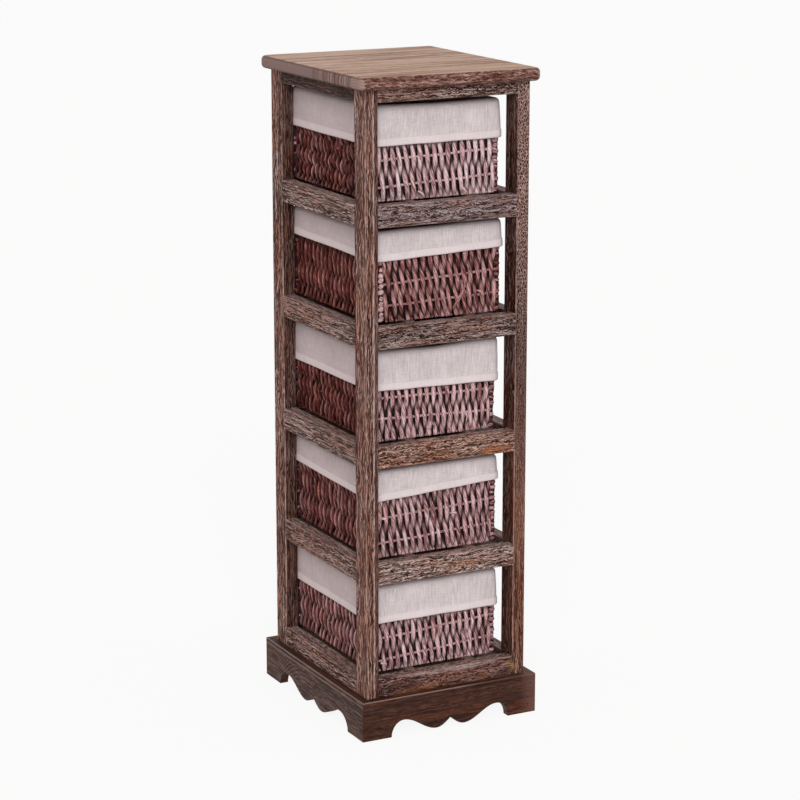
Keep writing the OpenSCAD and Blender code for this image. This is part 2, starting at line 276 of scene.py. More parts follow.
def wood_bump(t, lime, pores, limed, distance, strength):
    """Lime stands a little proud and the pores are sunk."""
    t.bump(t.sub(t.mul(lime, limed), pores), distance, strength)


# Worn places on the frame: centre and half sizes in mm, colour, strength
PATCHES = [
    ((-46, -156, 61), (52, 9, 8), (136, 84, 52), 0.85),
    ((60, -156, 66), (14, 9, 5), (128, 82, 52), 0.65),
    ((80, -156, 413), (36, 9, 9), (160, 98, 60), 0.75),
    ((114, -150, 72), (12, 12, 9), (186, 140, 78), 0.75),
    ((103, -156, 78), (3.0, 9, 2.4), (132, 124, 66), 0.6),
    ((-126, -150, 70), (12, 14, 16), (138, 88, 58), 0.35),
    ((-78, -156, 70), (44, 9, 12), (36, 18, 14), 0.55),
    ((14, -156, 85), (100, 9, 4.5), (184, 164, 158), 0.55),
    ((96, -156, 66), (20, 9, 8), (48, 24, 17), 0.50),
    ((122, -150, 290), (18, 16, 330), (142, 84, 54), 0.45),
    ((20, -156, 245), (46, 9, 7), (158, 104, 66), 0.35),
]

# By the grain's axis: how the piece's colour changes with its height, as a share of the tower's.
# The posts run along Z, the side rails along Y, and the front and rear rails along X
HEIGHT_TINTS_AND_SHADOW = {
    "z": [(0.0, 0.85, 0.69, 0.63), (0.5, 0.88, 0.73, 0.68), (1.0, 0.88, 0.74, 0.70)],
    # The last Y stop is painted shadow: it darkens the top side rails under the board's overhang
    "y": [(0.00, 0.92, 0.83, 0.80), (0.90, 0.96, 0.91, 0.90), (0.95, 0.27, 0.18, 0.15)],
    "x": [
        (0.00, 0.54, 0.41, 0.39), (0.15, 0.57, 0.45, 0.43),
        (0.18, 1.00, 1.00, 1.00), (0.33, 1.00, 1.00, 1.00),
        (0.36, 0.96, 0.81, 0.71), (0.52, 0.92, 0.77, 0.67),
        (0.56, 0.72, 0.69, 0.68), (0.74, 0.70, 0.72, 0.79),
        (0.90, 0.70, 0.72, 0.79), (0.95, 0.84, 0.78, 0.78),
    ],
}

# The grain of posts and of rails: warp, run and spacing of the streaks, run and swing of the
# wavy lines, run and spacing of the fine noise, where brown begins and ends, and the lime
POST_GRAIN = (0.003, 9, 520), (0.022, 3.2), (60, 900), (0.44, 0.56), 0.42
RAIL_GRAIN = (0.006, 26, 420), (0.010, 4.6), (120, 640), (0.48, 0.62), 0.55


def worn_patches(t, colour, streaks):
    ragged = t.mul(t.sub(t.place_noise((190, 190, 190), 3, 0.6), 0.5), 1.5)
    for centre, half, tint, strength in PATCHES:
        off = t.vmath("SUBTRACT", t.place(), tuple(c * MM for c in centre))
        off = t.vmath("LENGTH", t.vmath("MULTIPLY", off, tuple(1 / (h * MM) for h in half)))
        inside = t.fall(t.add(off, ragged), 0.55, 0.95)
        colour = t.over(colour, tint, inside, t.step(streaks, 0.36, 0.52), strength)
    return colour


def post_marks(t, colour, q, fine):
    """What the front posts alone have: the right one's limed net, and the left one's pale line."""
    x, y, z = t.split(t.place())
    nx, ny, _ = t.split(t.normal())
    cells = t.new("TexVoronoi", stretched(t, q, 185, 390), None, 1.0)
    cells.feature = "DISTANCE_TO_EDGE"
    net = t.fall(cells.outputs["Distance"], 0.02, 0.11)
    right = t.mul(t.fall(ny, -0.8, -0.6), t.step(x, 0.105, 0.110), t.fall(y, -0.120, -0.110))
    colour = t.over(colour, (38, 14, 8), right, t.gain(t.step(z, 0.20, 0.60), 0.52, 0.28))
    limed = t.mul(net, right, t.gain(t.step(z, 0.50, 0.78), 0.50, 0.16))
    colour = t.over(colour, (230, 192, 180), limed, t.step(z, 0.15, 0.35))
    left = t.fall(x, -0.110, -0.105)
    face = t.mul(left, t.fall(y, -0.1555, -0.1540))
    colour = t.over(colour, (60, 28, 21), face, t.step(x, -0.1188, -0.1176), 0.5)
    line = t.mul(face, band(t, x, -0.1195, 0.0017), t.step(fine, 0.42, 0.54))
    colour = t.over(colour, (222, 204, 198), line, 0.66)
    # Painted shade on the left post's front faces, and a little painted light on its left faces
    left = t.mul(left, t.fall(y, -0.130, -0.125))
    colour = t.over(colour, (66, 34, 26), left, t.fall(ny, -0.9, -0.7), 0.24)
    return t.over(colour, (176, 116, 100), left, t.fall(nx, -0.9, -0.7), 0.10)


def frame_wood(name, axis):
    t = Tree(name, Specular_IOR_Level=WOOD_SPECULAR)
    warped, wavy, fine_run, brown_at, lime_share = POST_GRAIN if axis == "z" else RAIL_GRAIN
    q, streaks, pores, lime, blotch = limed_grain(t, axis, *warped)
    x, y, z = t.split(t.place())
    nx, ny, up = t.split(t.normal())
    lines = wavy_lines(t, q, 0.0036, *wavy)
    fine = grain(t, q, *fine_run, 1.7, 3, 0.7)
    value = t.add(t.mul(lines, 0.11), t.mul(streaks, 0.46), t.mul(fine, 0.43))
    grey = t.ramp(value, (0.43, 26, 10, 6), (0.48, 76, 48, 39), (0.53, 126, 100, 92), (0.58, 206, 188, 182))
    brown = t.ramp(value, (0.43, 28, 10, 6), (0.48, 86, 50, 38), (0.53, 130, 88, 72), (0.585, 196, 164, 150))
    colour = t.mix(t.step(grain(t, q, 12, 55, 15.1, 2, 0.6), *brown_at), grey, brown)
    colour = t.over(colour, (194, 168, 160), lime, t.step(blotch, 0.36, 0.60), lime_share)
    colour = t.over(colour, (34, 14, 9), pores, 0.70)
    tint = t.ramp(t.mul(z, 1 / CAD_HIGH.z), *HEIGHT_TINTS_AND_SHADOW[axis], linear=True)
    colour = t.mix(1.0, colour, tint, "MULTIPLY")
    colour = worn_patches(t, colour, streaks)
    if axis == "z":
        colour = post_marks(t, colour, q, fine)
    # Faces that look into the tower get painted shade
    out_x, out_y = t.mul(nx, x), t.mul(ny, y)
    inward = t.fall(t.min(out_x, out_y), -0.09, -0.05)
    inward = t.mul(inward, t.fall(t.max(out_x, out_y), 0.02, 0.05))
    colour = t.over(colour, (40, 18, 13), inward, 0.62)
    # Faces that look up are paler in streaks, and eased edges are worn
    pale_up = t.gain(t.step(fine, 0.46, 0.56), 0.56, 0.06)
    colour = t.over(colour, (176, 150, 145), t.step(up, 0.9, 0.98), pale_up)
    colour = t.over(colour, (178, 150, 138), edge_faces(t), t.step(streaks, 0.34, 0.60), 0.50)
    wood_bump(t, lime, pores, 0.4, 0.0005, 0.7)
    return t.finish(colour, t.gain(streaks, 0.22, 0.52))


# Nails in the front plinth board, in mm, and the radius at which their dark heads fade out
NAILS = [(136.6, 46.0), (132.5, 13.0)]
NAIL_FADE = 0.0008, 0.0014


def plinth_wood(name, axis):
    t = Tree(name, Specular_IOR_Level=WOOD_SPECULAR)
    q, streaks, pores, lime, _ = limed_grain(t, axis, 0.006, 11, 400)
    x, y, z = t.split(t.place())
    nx, ny, _ = t.split(t.normal())
    colour = t.ramp(streaks, (0.36, 32, 14, 9), (0.50, 58, 31, 21), (0.64, 84, 52, 39))
    colour = t.over(colour, (112, 60, 36), t.step(grain(t, q, 6, 34, 2.9), 0.52, 0.68), 0.34)
    # Pale arcs and one long line on the side boards
    side = t.step(t.abs(nx), 0.7, 0.9)
    off = t.sub(y, 0.025)
    rise = t.add(z, t.mul(off, off, 5.0), t.mul(grain(t, q, 26, 60, 4.4), 0.006))
    rings = t.step(t.sin(t.mul(rise, 1000.0)), 0.45, 0.98)
    rings = t.mul(rings, side, t.step(streaks, 0.44, 0.54))
    low = t.fall(z, PLINTH_TOP - 0.016, PLINTH_TOP - 0.010)
    colour = t.over(colour, (158, 132, 124), rings, low, 0.50)
    colour = t.over(colour, (170, 146, 138), side, band(t, z, PLINTH_TOP - 0.007, 0.0014), 0.45)
    colour = t.over(colour, (142, 118, 110), lime, t.gain(side, 0.30, 0.05))
    colour = t.over(colour, (22, 11, 8), pores, 0.6)
    right_end = t.step(x, CAD_HIGH.x - 0.030, CAD_HIGH.x - 0.004)
    colour = t.over(colour, (132, 98, 90), right_end, 0.35)
    for nail_x, nail_z in NAILS:
        off = t.vmath("LENGTH", t.join(t.sub(x, nail_x * MM), 0.0, t.sub(z, nail_z * MM)))
        colour = t.over(colour, (18, 10, 8), t.fall(ny, -0.9, -0.7), t.fall(off, *NAIL_FADE))
    # The outer top edge is rubbed pale, less so on the right
    over_x = t.sub(t.abs(x), CAD_HIGH.x - 0.0018)
    over_y = t.sub(t.abs(y), CAD_HIGH.y - 0.0018)
    arris = t.step(t.max(over_x, over_y), 0.0, 0.0006)
    arris = t.mul(arris, t.step(z, PLINTH_TOP - 0.0020, PLINTH_TOP - 0.0008))
    arris = t.mul(arris, t.gain(t.step(x, 0.01, 0.06), -0.7, 1.0))
    colour = t.over(colour, (170, 144, 132), arris, 0.55)
    wood_bump(t, lime, pores, 0.3, 0.0003, 0.5)
    return t.finish(colour, t.gain(streaks, 0.2, 0.48))


# The top board's glue joints, from its front edge
JOINTS = 33 * MM, 155 * MM
JOINT_SOFT = 0.0004


def board_edge(t, q, streaks, x):
    """Side grain on the front and rear edges: reddish, with dark dashes and dark corners."""
    value = t.add(t.mul(wavy_lines(t, q, 0.0042, 0.014, 2.6), 0.06), t.mul(streaks, 0.36))
    value = t.add(value, t.mul(grain(t, q, 90, 330, 8.8, 3, 0.7), 0.58))
    colour = t.ramp(value, (0.38, 60, 28, 22), (0.50, 122, 84, 74), (0.60, 178, 144, 134))
    colour = t.over(colour, (50, 24, 19), t.step(grain(t, q, 130, 620, 5.3), 0.52, 0.60), 0.75)
    corner = t.step(t.abs(x), CAD_HIGH.x - 0.007, CAD_HIGH.x - 0.002)
    return t.over(colour, (70, 34, 27), corner, 0.6)


def board_end(t, y, z, from_front, strip):
    """End grain on the left and right edges: each strip has its own growth rings."""
    middle = t.mul(t.step(strip, 0.5, 0.9), t.fall(strip, 1.2, 1.6))
    near, far = t.fall(strip, 0.1, 0.5), t.step(strip, 1.5, 1.9)
    # The middle strip is cut across the rings, which stand upright and fade towards the rear
    spacing = t.mul(t.noise(t.join(0.0, t.mul(y, 38.0), 0.0), 2, 0.6), 0.055)
    bend = t.mul(t.noise(t.join(t.mul(z, 60.0), t.mul(y, 90.0), 0.0)), 0.004)
    upright = t.sin(t.mul(t.add(y, spacing, bend), 900.0))
    fade = t.gain(t.step(from_front, 0.085, 0.115), -0.65, 1.0)
    # The other two strips show arcs round a centre below and one above the board
    near_r = t.vmath("LENGTH", t.join(0.0, t.sub(from_front, 0.016), t.sub(z, BOARD_LOW.z - 0.03)))
    far_r = t.vmath("LENGTH", t.join(0.0, t.sub(y, CAD_HIGH.y + 0.01), t.sub(z, BOARD_HIGH.z + 0.02)))
    far_r = t.add(far_r, t.mul(t.place_noise((0, 45, 120)), 0.012))
    line = t.add(
        t.mul(upright, middle, fade, 0.85),
        t.mul(t.sin(t.mul(near_r, 1500.0)), near, 0.25),
        t.mul(t.sin(t.mul(far_r, 1150.0)), far, 0.09),
    )
    colour = t.mix(t.step(t.gain(line, 0.5, 0.5), 0.20, 0.85), (96, 66, 57), (182, 156, 150))
    colour = t.over(colour, (88, 56, 44), middle, 0.30)
    colour = t.over(colour, (186, 156, 146), near, 0.45)
    colour = t.over(colour, (126, 102, 95), t.place_noise((900, 900, 300), 3), 0.4)
    # A darker line along both arrises
    height = t.abs(t.sub(z, (BOARD_LOW.z + BOARD_HIGH.z) / 2))
    return t.over(colour, (78, 50, 42), band(t, height, 0.0078, 0.0016), 0.5)


def board_wood(name):
    """The top board: edge-glued strips, with grain along X and end grain at both ends."""
    t = Tree(name, Specular_IOR_Level=WOOD_SPECULAR)
    q, streaks, pores, lime, _ = limed_grain(t, "x", 0.003)
    x, y, z = t.split(t.place())
    nx, ny, nz = t.split(t.vmath("ABSOLUTE", t.normal()))
    long_grain = grain(t, q, 5, 190, 6.1, 4, 0.65)
    colour = t.ramp(long_grain, (0.38, 118, 80, 60), (0.47, 178, 142, 120), (0.57, 216, 186, 166))
    from_front = t.sub(y, CAD_LOW.y)
    strip = t.add(*(t.step(from_front, at - JOINT_SOFT, at + JOINT_SOFT) for at in JOINTS))
    tint = t.ramp(t.mul(strip, 0.5), (0.0, 188, 146, 126), (0.5, 174, 140, 118), (1.0, 184, 154, 136))
    colour = t.mix(0.30, colour, tint)
    colour = t.mix(t.step(ny, 0.28, 0.55), colour, board_edge(t, q, streaks, x))
    colour = t.mix(t.step(nx, 0.28, 0.55), colour, board_end(t, y, z, from_front, strip))
    joint = t.min(*(t.abs(t.sub(from_front, at)) for at in JOINTS))
    colour = t.over(colour, (84, 60, 50), t.fall(joint, 0.0002, 0.0007), 0.4)
    colour = t.over(colour, (108, 82, 68), pores, 0.28, t.step(nz, 0.6, 0.9))
    # Faces that look down get painted shade
    under = t.fall(t.split(t.normal())[2], -0.8, -0.5)
    colour = t.over(colour, (84, 60, 50), under, 0.7)
    wood_bump(t, lime, pores, 0.3, 0.0003, 0.4)
    return t.finish(colour, t.gain(streaks, 0.2, 0.50))


def plain_wood(name, axis, dark, light, roughness):
    t = Tree(name)
    _, streaks, pores, _, blotch = limed_grain(t, axis, 0.003)
    colour = t.ramp(streaks, (0.34, *dark), (0.66, *light))
    colour = t.over(colour, dark, pores, 0.3)
    t.bump(t.sub(streaks, pores), 0.0002, 0.4)
    return t.finish(colour, t.gain(blotch, 0.15, roughness))


def steel():
    t = Tree("screw_steel", Metallic=1.0)
    brushed = t.place_noise((900, 900, 900), 3, 0.6)
    t.bump(brushed, 0.00005, 0.3)
    colour = t.ramp(brushed, (0.3, 150, 150, 154), (0.7, 196, 196, 200))
    return t.finish(colour, t.gain(brushed, 0.2, 0.28))


FRAME = {a: frame_wood(f"frame_wood_{a}", a) for a in "xyz"}
PLINTH = {a: plinth_wood(f"plinth_wood_{a}", a) for a in "xy"}
# A node's material by the start of its name: one, or one for each axis
MATERIALS = {
    "top_board": board_wood("top_wood"),
    "post_": FRAME["z"],
    "rail_": FRAME,
    "top_rail_": FRAME,
    "apron_": PLINTH,
    "shelf_panel_": plain_wood("shelf_wood", "x", (78, 56, 46), (120, 92, 78), 0.6),
    "runners_": plain_wood("runner_wood", "y", (82, 60, 50), (126, 98, 84), 0.6),
    "dowels": plain_wood("dowel_wood", "z", (196, 160, 118), (226, 198, 160), 0.45),
    "screws": steel(),
}

for node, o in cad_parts.items():
    for start, material in MATERIALS.items():
        if not node.startswith(start):
            continue
        if isinstance(material, dict):
            material = material["x" if node.endswith(("front", "rear")) else "y"]
        if not o.material_slots:
            o.data.materials.append(material)
        for s in o.material_slots:
            s.material = material
        break

# ---- wicker and cloth materials ----


def wicker():
    """Twisted rush: streaks follow the twist, and what lies deep in the weave and each strand's right flank
    get painted shade.
    """
    t = Tree("wicker", Specular_IOR_Level=0.06)
    fibre = t.attribute("fibre", "Vector")
    streak = t.noise(t.vmath("MULTIPLY", fibre, (1.0, 1.0, 1.8)), 3, 0.62)
    fine = t.noise(t.vmath("MULTIPLY", fibre, (2.6, 2.6, 6.0)), 3, 0.65)
    value = t.add(t.mul(streak, 0.62), t.mul(fine, 0.26), t.mul(t.attribute("tone"), 0.12))
    pink = t.ramp(value, (0.37, 90, 49, 50), (0.46, 182, 135, 138), (0.55, 250, 222, 225))
    ruddy = t.ramp(value, (0.37, 50, 13, 10), (0.47, 122, 58, 50), (0.57, 206, 140, 130))
    colour = t.mix(t.attribute("red"), pink, ruddy)
    colour = t.over(colour, (74, 36, 35), t.step(fine, 0.54, 0.64), 0.55)
    # Painted shade on each strand's right flank
    colour = t.over(colour, (40, 14, 13), t.fall(t.attribute("flank"), -0.98, -0.10), 0.78)
    # Painted shade, down to near black, on what lies deep in the weave
    colour = t.over(colour, (14, 5, 4), t.fall(t.attribute("front"), 0.14, 0.78), 0.94)
    t.bump(t.add(streak, t.mul(fine, 0.5)), 0.0008, 0.8)
    return t.finish(colour, t.gain(streak, 0.2, 0.52))


def cloth():
    """Plain weave: slubs along both threads, painted warm shade on faces that look left, and a paler hem."""
    t = Tree("liner_cloth", Specular_IOR_Level=0.2, Sheen_Weight=0.1)
    slub = t.place_noise((1000, 1000, 60), 3, 0.65)
    cross = t.place_noise((60, 60, 1100), 2, 0.6)
    soft = t.place_noise((24, 24, 30))
    value = t.add(t.mul(slub, 0.52), t.mul(cross, 0.28), t.mul(soft, 0.2))
    colour = t.ramp(value, (0.37, 186, 173, 175), (0.50, 209, 199, 201), (0.63, 228, 220, 221))
    # Painted warm shade on faces that look left
    colour = t.over(colour, (190, 166, 160), t.fall(t.split(t.normal())[0], -0.9, -0.6), 0.35)
    colour = t.over(colour, (240, 226, 226), t.attribute("hem"), 0.5)
    t.bump(t.add(slub, cross), 0.00025, 0.5)
    return t.finish(colour, 0.86)


def thread():
    t = Tree("liner_thread")
    value = t.place_noise((1800, 1800, 1800))
    return t.finish(t.ramp(value, (0.3, 206, 196, 192), (0.7, 236, 228, 224)), 0.8)


WICKER, CLOTH, THREAD = wicker(), cloth(), thread()

# ---- mesh building ----


def new_object(name, data):
    o = bpy.data.objects.new(name, data)
    bpy.context.scene.collection.objects.link(o)
    return o


class Mesh:
    """Collects vertices, faces and point values, then makes one object."""

    def __init__(self):
        self.points, self.faces, self.values, self.count = [], [], {}, 0

    def add(self, points, faces, **values):
        points = np.reshape(points, (-1, 3))
        self.points.append(points)
        self.faces += [tuple(i + self.count for i in f) for f in faces]
        for key, v in values.items():
            v = np.reshape(v, (-1, 3)) if key == "fibre" else np.broadcast_to(v, len(points))
            self.values.setdefault(key, []).append(v)
        self.count += len(points)

    def make(self, name, material, warp):
        mesh = bpy.data.meshes.new(name)
        mesh.from_pydata(warp(np.concatenate(self.points)).tolist(), [], self.faces)
        mesh.update()
        for key, parts in self.values.items():
            v = np.concatenate(parts).astype(np.float32)
            kind, field = ("FLOAT_VECTOR", "vector") if v.ndim == 2 else ("FLOAT", "value")
            mesh.attributes.new(key, kind, "POINT").data.foreach_set(field, v.ravel())
        mesh.polygons.foreach_set("use_smooth", np.ones(len(mesh.polygons), bool))
        mesh.materials.append(material)
        return new_object(name, mesh)


def ring_faces(rings, sides, closed=False, flip=False):
    """Quads between rings of points, and between the last and the first if closed."""
    faces = []
    for i in range(rings if closed else rings - 1):
        up = ((i + 1) % rings - i) * sides
        for j in range(sides):
            a, b = i * sides + j, i * sides + (j + 1) % sides
            faces.append((a, a + up, b + up, b) if flip else (a, b, b + up, a + up))
    return faces


def unit(v):
    return v / np.linalg.norm(v, axis=1)[:, None]


def lengths(path):
    """The length along a path up to each of its points."""
    return np.concatenate([[0], np.cumsum(np.linalg.norm(np.diff(path, axis=0), axis=1))])


def points_at(x, y, z):
    """Points from coordinates, each an array or one number."""
    return np.stack(np.broadcast_arrays(x, y, z), 1)


# The room that a strand takes in the fibre noise: the radius of its circle, and each metre of it
FIBRE_ROUND, FIBRE_ALONG = 2.3, 38


def fibre_places(phi, length, seed=0.0):
    """Where each point lies among the fibres, which turn with the strand."""
    along = np.broadcast_to(length[:, None] * FIBRE_ALONG + seed, phi.shape)
    x, y = FIBRE_ROUND * np.cos(phi) + seed, FIBRE_ROUND * np.sin(phi) + seed * 0.7
    return np.stack([x, y, along], -1)


TUBES = {}


def strand(
    out, path, side, normal, half_w, half_t, twist, front, tone, red,
    sides=8, lobe=0.14, seed=0.0, flank=0.0,
):
    """A twisted tube along path. side is the direction of half_w, and normal that of half_t."""
    n = len(path)
    tangent = unit(np.gradient(path, axis=0))
    a = unit(side - (side * tangent).sum(1)[:, None] * tangent)
    b = np.cross(tangent, a)
    b *= np.sign((b * normal).sum(1))[:, None]
    length = lengths(path)
    theta = np.arange(sides) * 2 * math.pi / sides
    phi = theta[None, :] - (twist * length)[:, None]
    r = 1 + lobe * np.cos(2 * phi)
    x = np.reshape(half_w, (-1, 1)) * r * np.cos(theta)
    y = np.reshape(half_t, (-1, 1)) * r * np.sin(theta)
    points = path[:, None, :] + x[..., None] * a[:, None, :] + y[..., None] * b[:, None, :]
    if (n, sides) not in TUBES:
        ends = [tuple(range(sides))[::-1], tuple(range((n - 1) * sides, n * sides))]
        TUBES[n, sides] = ring_faces(n, sides) + ends
    faces = TUBES[n, sides]
    if np.dot(np.cross(a[0], b[0]), tangent[0]) < 0:
        faces = [f[::-1] for f in faces]
    # flank and front carry the painted shade that the wicker material lays on right flanks and on what lies
    # deep
    flank, front = np.tile(-np.cos(theta), n) * flank, np.repeat(np.broadcast_to(front, n), sides)
    fibre = fibre_places(phi, length, seed)
    out.add(points, faces, fibre=fibre, flank=flank, tone=tone, red=red, front=front)


# ---- baskets ----

X_DIR, Y_DIR, UP = np.eye(3)
# Each wall: the direction along it, its outward direction, the half length between its corners,
# and how far out it stands
WALLS = {
    "front": (X_DIR, -Y_DIR, BASKET_X - BASKET_R, BASKET_Y),
    "right": (Y_DIR, X_DIR, BASKET_Y - BASKET_R, BASKET_X),
    "rear": (-X_DIR, Y_DIR, BASKET_X - BASKET_R, BASKET_Y),
    "left": (-Y_DIR, -X_DIR, BASKET_Y - BASKET_R, BASKET_X),
}

# Per tier, in mm: heights over the basket's bottom of the two rods behind the front strands, each
# at its left and right end; the lean of those strands at the left, in the middle and at the right;
# the heights at which the strands of the sides change places; and, each for the front and the
# sides, how red and how dim they are
# The sides' dimness is partly their darker rush and partly painted shade between the strands and under the
# rails
STYLE_KEYS = "hi", "lo", "lean", "side", "red", "dim"
STYLE_ROWS = {
    5: ((58.5, 64), (20, 27), (-0.18, -0.11, -0.04), (50, 29), (0.10, 0.88), (-0.10, 0.36)),
    4: ((55, 62), (23.5, 28), (-0.21, -0.19, -0.10), (50, 16), (0.68, 1.00), (0.12, 0.30)),
    3: ((64.5, 59), (33.5, 27), (-0.06, -0.05, -0.03), (52, 26), (0.25, 1.00), (0.00, 0.26)),
    2: ((59, 66), (21, 29), (-0.14, -0.12, -0.10), (43, 11), (0.28, 0.88), (0.14, 0.26)),
    1: ((50, 60.5), (16, 27), (-0.10, -0.08, -0.06), (48, 17), (0.24, 0.72), (0.04, 0.00)),
}
STYLE = {k: dict(zip(STYLE_KEYS, row)) for k, row in STYLE_ROWS.items()}


def on_wall(wall, u, depth, z):
    """Points at u along a wall, depth inside its outer face and z over the basket's bottom."""
    along, outward, _, reach = WALLS[wall]
    return along * u[:, None] + outward * (reach - depth)[:, None] + UP * z[:, None]


def along_wall(v, u, half):
    """The value at u of what runs evenly through v from one end of a wall to the other."""
    return np.interp(u, np.linspace(-half, half, len(v)), v)


def rows_of(k, is_front, u, half):
    """Heights, in metres, of the rod that set A covers and of the one below it."""
    style = STYLE[k]
    if is_front:
        return along_wall(style["hi"], u, half) * MM, along_wall(style["lo"], u, half) * MM
    top, low = style["side"]
    gap = (top - low) / 2
    return (top + gap) * MM, (top - gap) * MM


# The height at which a leaning front strand is in its own place
LEAN_FROM = 55 * MM
# How deep a strand lies behind the rods, and how far it comes out in front of them, in mm
DEEP, RELIEF = 7.2, 4.7


def look_of(k, wall):
    """Whether the wall is woven like the front, and how red and how dim it is."""
    is_front = wall in ("front", "rear")
    return is_front, *(STYLE[k][c][0 if is_front else 1] for c in ("red", "dim"))


def wall_strands(out, k, wall, rng):
    along, outward, half, _ = WALLS[wall]
    is_front, red, dim = look_of(k, wall)
    style = STYLE[k]
    pitch = (11.4 if is_front else 12.7) * MM
    count = int(round(2 * half / pitch))
    pitch = 2 * half / count
    half_w = (3.75 if is_front else 4.6) * MM
    z = np.linspace(0.4 * MM, WALL_H + 2 * MM, 42)
    top, low = (v * MM for v in style["side"])
    for i in range(2 * count):
        set_a = i % 2 == 0
        u0 = -half + (i + 0.5) * pitch / 2 + rng.normal(0, 0.35) * MM
        hi, lo = rows_of(k, is_front, u0, half)
        slip = rng.normal(0, 2.0) * MM
        share = 0.5 + 0.5 * np.cos(math.pi * (z - hi - slip) / (hi - lo))
        if not set_a:
            share = 1 - share
        if is_front:
            lean = along_wall(style["lean"], u0, half) + rng.normal(0, 0.018)
            lean *= 1 - abs(u0 / half) ** 4
            u = u0 + lean * (z - LEAN_FROM) + 0.4 * MM * np.sin(z / MM * 0.11 + rng.uniform(0, 2.5))
        else:
            lean = (-0.07 + rng.normal(0, 0.02)) * (1 - abs(u0 / half) ** 6)
            sway = np.sin(math.pi * (z - top) / (top - low))
            sway = np.where(z < low, 0.0, sway)
            u = u0 + lean * (z - top) + 2.2 * MM * sway + 0.16 * np.clip(z - low, None, 0)
        u = np.clip(u, -half - 2 * MM, half + 2 * MM)
        if k == 4 and wall == "front" and u0 < -half + 3 * MM:
            continue
        depth = (DEEP - RELIEF * share + rng.normal(0, 0.15)) * MM
        foot = np.exp(-z / (2.5 * MM))
        depth = depth * (1 - foot) + foot * (2.0 + rng.uniform(0, 1.0)) * MM
        size = rng.uniform(0.92, 1.08)
        w = half_w * size * (0.10 + 0.90 * share ** (0.55 if is_front else 1.0))
        w = np.maximum(w, half_w * 0.55 * foot)
        thick = 2.45 * MM * size * (0.66 + 0.34 * share)
        path = on_wall(wall, u, depth, z)
        strand(
            out, path, along, outward, w, thick, twist=rng.uniform(60.0, 120.0),
            front=np.maximum(share, foot), tone=rng.uniform(0.2, 0.8) - dim,
            red=np.clip(red + rng.normal(0, 0.08), 0, 1),
            sides=9 if is_front else 8, seed=rng.uniform(0, 90), flank=1.0,
        )


def wall_rods(out, k, wall, rng):
    """The pale rods that run across the wall behind its front strands."""
    _, outward, half, _ = WALLS[wall]
    is_front, red, dim = look_of(k, wall)
    u = np.linspace(-half - 3 * MM, half + 3 * MM, 60)
    hi, lo = rows_of(k, is_front, u, half)
    rods = [hi, lo, hi + (hi - lo)]
    if is_front:
        rods[2] = hi + 35 * MM
    for height in rods:
        z = height + 0.4 * MM * np.sin(u * 60 + rng.uniform(0, 6))
        z = np.clip(z, 3 * MM, WALL_H - 2 * MM)
        depth = (4.5 if is_front else 5.4) * MM + 0.3 * MM * np.sin(u * 550 + rng.uniform(0, 6))
        path = on_wall(wall, u, depth, z)
        thick = (1.9 + 0.3 * np.sin(u * 800 + rng.uniform(0, 6))) * MM
        strand(
            out, path, UP, outward, thick, thick, twist=300, front=0.72, tone=0.35 - dim,
            red=0.6 * red, sides=7, lobe=0.1, seed=rng.uniform(0, 90),
        )


# Bent and loose strands: tier, wall, ends along the wall and over the basket's bottom, how far the
# middle bows sideways, half width, all in mm, and tone
LOOSE = [
    (4, "front", (23, 10), (44, 45), 2.0, 2.6, 0.2),
    (4, "front", (37, 52), (47, 30), -3.0, 2.4, 0.0),
    (4, "front", (63, 34), (72, 18), 5.0, 1.6, 0.9),
    (3, "front", (-10, 22), (-2, 9), 2.0, 2.0, 0.1),
    (3, "front", (-6, 24), (-8, 11), -3.0, 1.6, 0.8),
    (3, "front", (48, 30), (53, 14), 3.0, 1.8, 0.9),
    (2, "front", (-92, 60), (-80, 56), 2.0, 2.2, 0.8),
    (2, "front", (24, 53), (35, 50), 3.0, 2.0, 0.5),
    (1, "front", (-91, 13), (-82, 9), 2.0, 2.4, 1.2),
    (1, "front", (52, 44), (60, 25), -3.0, 2.0, 0.2),
    (5, "left", (14, 63), (27, 61), 1.5, 1.5, 1.6),
    (5, "front", (-30, 11), (-21, 2), 2.0, 1.5, 1.0),
    (5, "front", (44, 12), (52, 3), -2.0, 1.5, 1.2),
]


def loose_strands(out, k, rng):
    for tier, wall, (u0, z0), (u1, z1), bow, half_w, tone in LOOSE:
        if tier != k:
            continue
        outward = WALLS[wall][1]
        red = look_of(k, wall)[1]
        t = np.linspace(0, 1, 12)
        arch = np.sin(math.pi * t)
        u = (u0 + (u1 - u0) * t + bow * arch) * MM
        z = (z0 + (z1 - z0) * t + 0.4 * bow * arch) * MM
        depth = (2.6 - 1.2 * arch) * MM
        path = on_wall(wall, u, depth, z)
        w = half_w * (0.35 + 0.65 * arch ** 0.6) * MM
        across = unit(np.cross(outward, np.gradient(path, axis=0)))
        strand(
            out, path, across, outward, w, w * 0.7, twist=140, front=1.0, tone=tone, red=0.7 * red,
            lobe=0.12, seed=rng.uniform(0, 90),
        )


def backing(out):
    """The inner layer of the wall, a ribbed band inside the strands, painted near black as shade."""
    rows, per = 7, []
    for wall, (_, _, half, _) in WALLS.items():
        u = np.linspace(-half, half, int(half * 2 / (3 * MM)))
        depth = (8.0 + 0.3 * np.cos(np.arange(len(u)) * math.pi)) * MM
        per.append(on_wall(wall, u, depth, 0 * u))
    ring = np.concatenate(per)
    m = len(ring)
    inner = ring * (1 - 1.1 * MM / np.linalg.norm(ring, axis=1))[:, None]
    zs = np.linspace(1.5 * MM, WALL_H, rows)
    shell = np.concatenate([ring + UP * z for z in zs] + [inner + UP * z for z in zs[::-1]])
    faces = ring_faces(2 * rows, m, closed=True)
    out.add(shell, faces, fibre=shell * 300, flank=0.0, tone=0.3, red=0.5, front=0.0)


